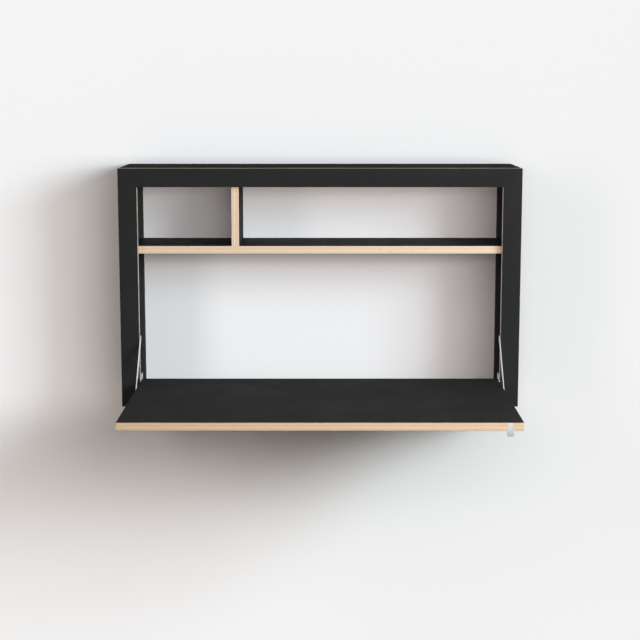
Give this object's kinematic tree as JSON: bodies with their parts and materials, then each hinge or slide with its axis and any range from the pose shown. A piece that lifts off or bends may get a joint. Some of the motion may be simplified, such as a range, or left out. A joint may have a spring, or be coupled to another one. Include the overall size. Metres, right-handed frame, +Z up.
{
  "type": "fold down wall desk",
  "caption": "Shallow wall cabinet in black laminated birch plywood with a shelf and a divider, whose hinged front folds down on stay arms to make a desk top.",
  "frame": {"origin": "on the wall plane, midway between the two wall screw holes of the hanging rail", "axes": "+X along the wall to the right as seen from the room, +Y into the wall, +Z up; rest is the flap open"},
  "size_m": [0.8, 0.565, 0.48],
  "materials": {
    "laminated_birch": "matt black laminate faces on birch plywood, raw edges",
    "beech": "plain turned beech",
    "track_aluminium": "satin anodised",
    "slide_plastic": "matt",
    "bush_brass": "turned",
    "magnet_plating": "nickel plated",
    "bright_steel": "brushed, bright"
  },
  "bodies": {
    "frame": {"front_frame": "laminated_birch", "top_board": "laminated_birch", "bottom_board": "laminated_birch", "side_board_left": "laminated_birch", "side_board_right": "laminated_birch", "shelf": "laminated_birch", "divider": "laminated_birch", "hanging_rail": "laminated_birch", "batten_left": "laminated_birch", "batten_right": "laminated_birch", "frame_dowels": "beech", "case_dowels": "beech", "shelf_dowels": "beech", "divider_dowels": "beech", "hanging_dowels": "beech", "batten_dowels": "beech", "track_left": "track_aluminium", "track_right": "track_aluminium", "track_stops": "track_aluminium", "track_screws": "bright_steel", "hinge_plate_left": "bright_steel", "hinge_plate_right": "bright_steel", "hinge_screws": "bright_steel", "hinge_pin_left": "bright_steel", "hinge_pin_right": "bright_steel", "catch_magnet": "magnet_plating"},
    "flap": {"flap": "laminated_birch", "hinge_bush_left": "bush_brass", "hinge_bush_right": "bush_brass", "arm_pivot_left": "bright_steel", "arm_pivot_right": "bright_steel", "pull_tab": "bright_steel", "tab_screw": "bright_steel"},
    "arm_left": {"arm_left": "bright_steel", "slide_pin_left": "bright_steel"},
    "slide_left": {"slide_left": "slide_plastic"},
    "arm_right": {"arm_right": "bright_steel", "slide_pin_right": "bright_steel"},
    "slide_right": {"slide_right": "slide_plastic"}
  },
  "joints": [
    {"name": "flap_fold", "type": "hinge", "parent": "frame", "child": "flap", "pos_m": [0, -0.1725, -0.4025], "axis": [-1, 0, 0], "range_deg": [0, 90]},
    {"name": "arm_swing_left", "type": "hinge", "parent": "flap", "child": "arm_left", "pos_m": [-0.36105, -0.2605, -0.4025], "axis": [1, 0, 0], "range_deg": [0, 133.44]},
    {"name": "slide_run_left", "type": "slide", "parent": "frame", "child": "slide_left", "axis": [0, 0, 1], "range_m": [0, 0.12306]},
    {"name": "arm_swing_right", "type": "hinge", "parent": "flap", "child": "arm_right", "pos_m": [0.36105, -0.2605, -0.4025], "axis": [1, 0, 0], "range_deg": [0, 133.44]},
    {"name": "slide_run_right", "type": "slide", "parent": "frame", "child": "slide_right", "axis": [0, 0, 1], "range_m": [0, 0.12306]}
  ],
  "couplings": [
    {"joint": "arm_swing_left", "follows": "flap_fold", "ratio": 1.4826},
    {"joint": "slide_run_left", "follows": "flap_fold", "m_per_rad": 0.078335},
    {"joint": "arm_swing_right", "follows": "flap_fold", "ratio": 1.4826},
    {"joint": "slide_run_right", "follows": "flap_fold", "m_per_rad": 0.078335}
  ]
}
